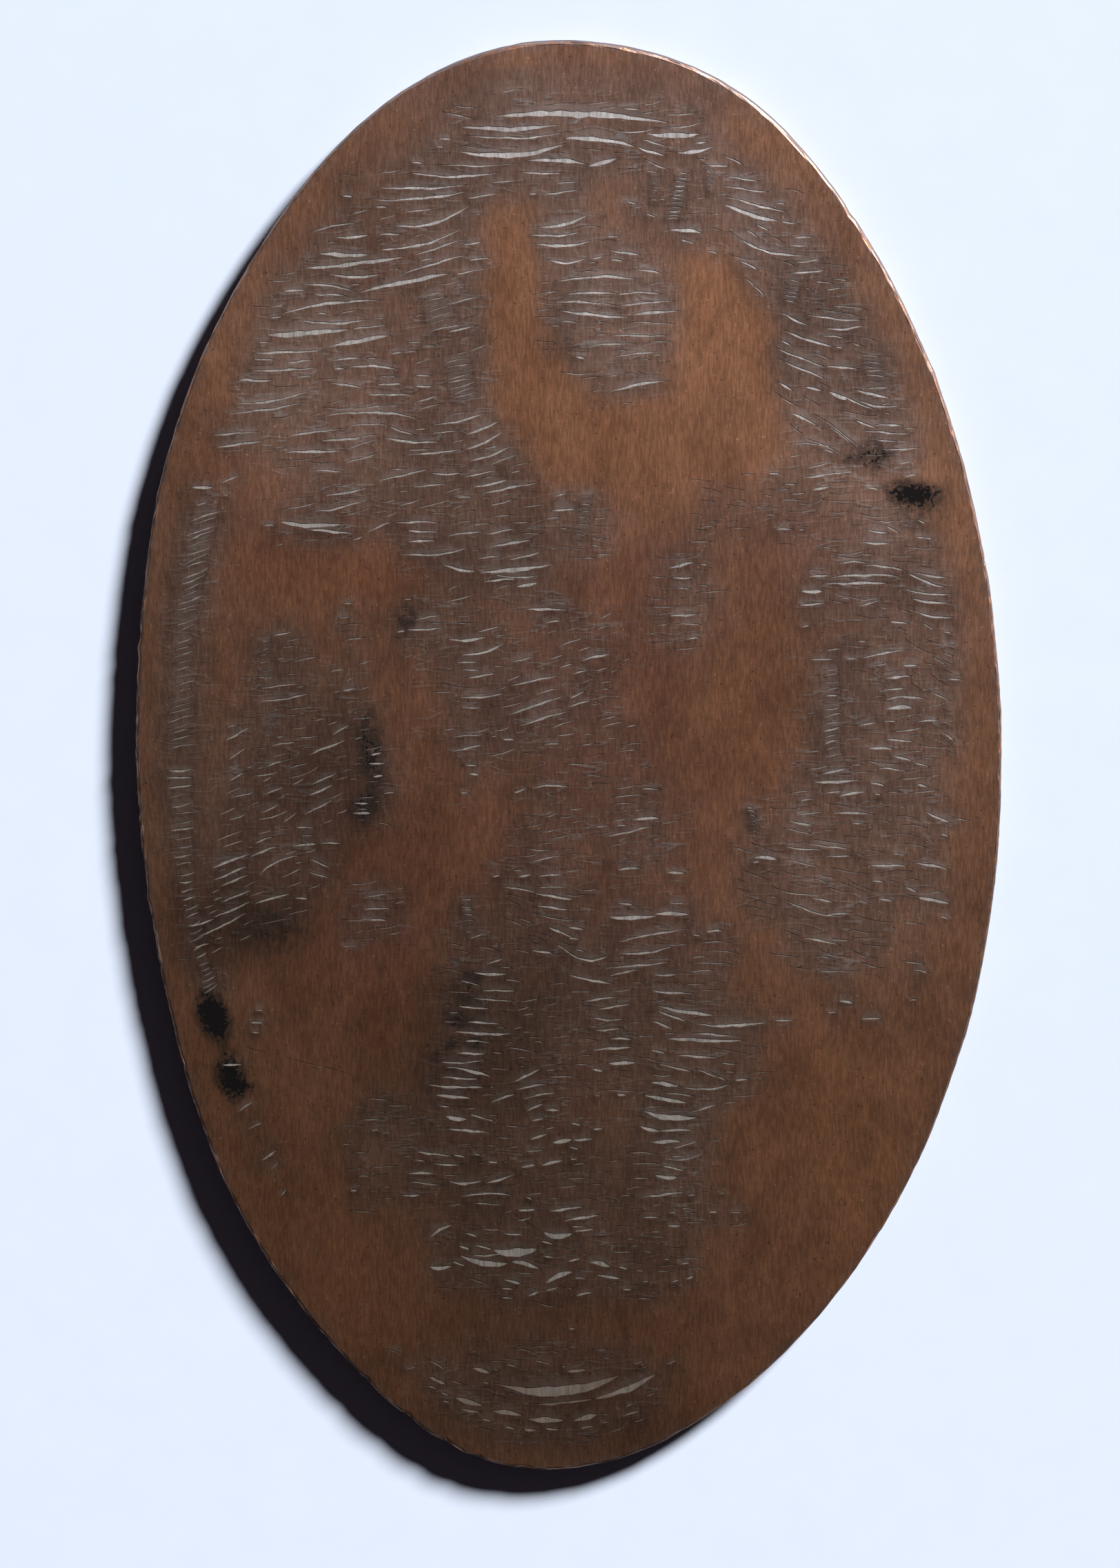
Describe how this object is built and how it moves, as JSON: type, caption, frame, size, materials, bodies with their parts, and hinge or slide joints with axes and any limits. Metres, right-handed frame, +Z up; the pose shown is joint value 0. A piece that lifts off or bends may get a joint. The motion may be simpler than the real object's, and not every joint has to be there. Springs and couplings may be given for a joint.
{
  "type": "elongated coin token",
  "caption": "Flat oval token rolled out of a coin: a zinc core inside a thin copper plating, torn in places on its plain back, with a raised beaded border and tramcar on its face.",
  "frame": {"origin": "under the middle of the token's box, on the surface the token lies on", "axes": "+Z up out of the plain rolled back, +Y along the token's long axis towards its fuller, rounder end, +X across it; the raised design faces down"},
  "size_m": [0.021, 0.0348, 0.0007],
  "materials": {
    "copper_plating": "satin",
    "zinc": "satin"
  },
  "bodies": {
    "root": {"zinc_core": "zinc", "copper_plating": "copper_plating"}
  },
  "joints": []
}
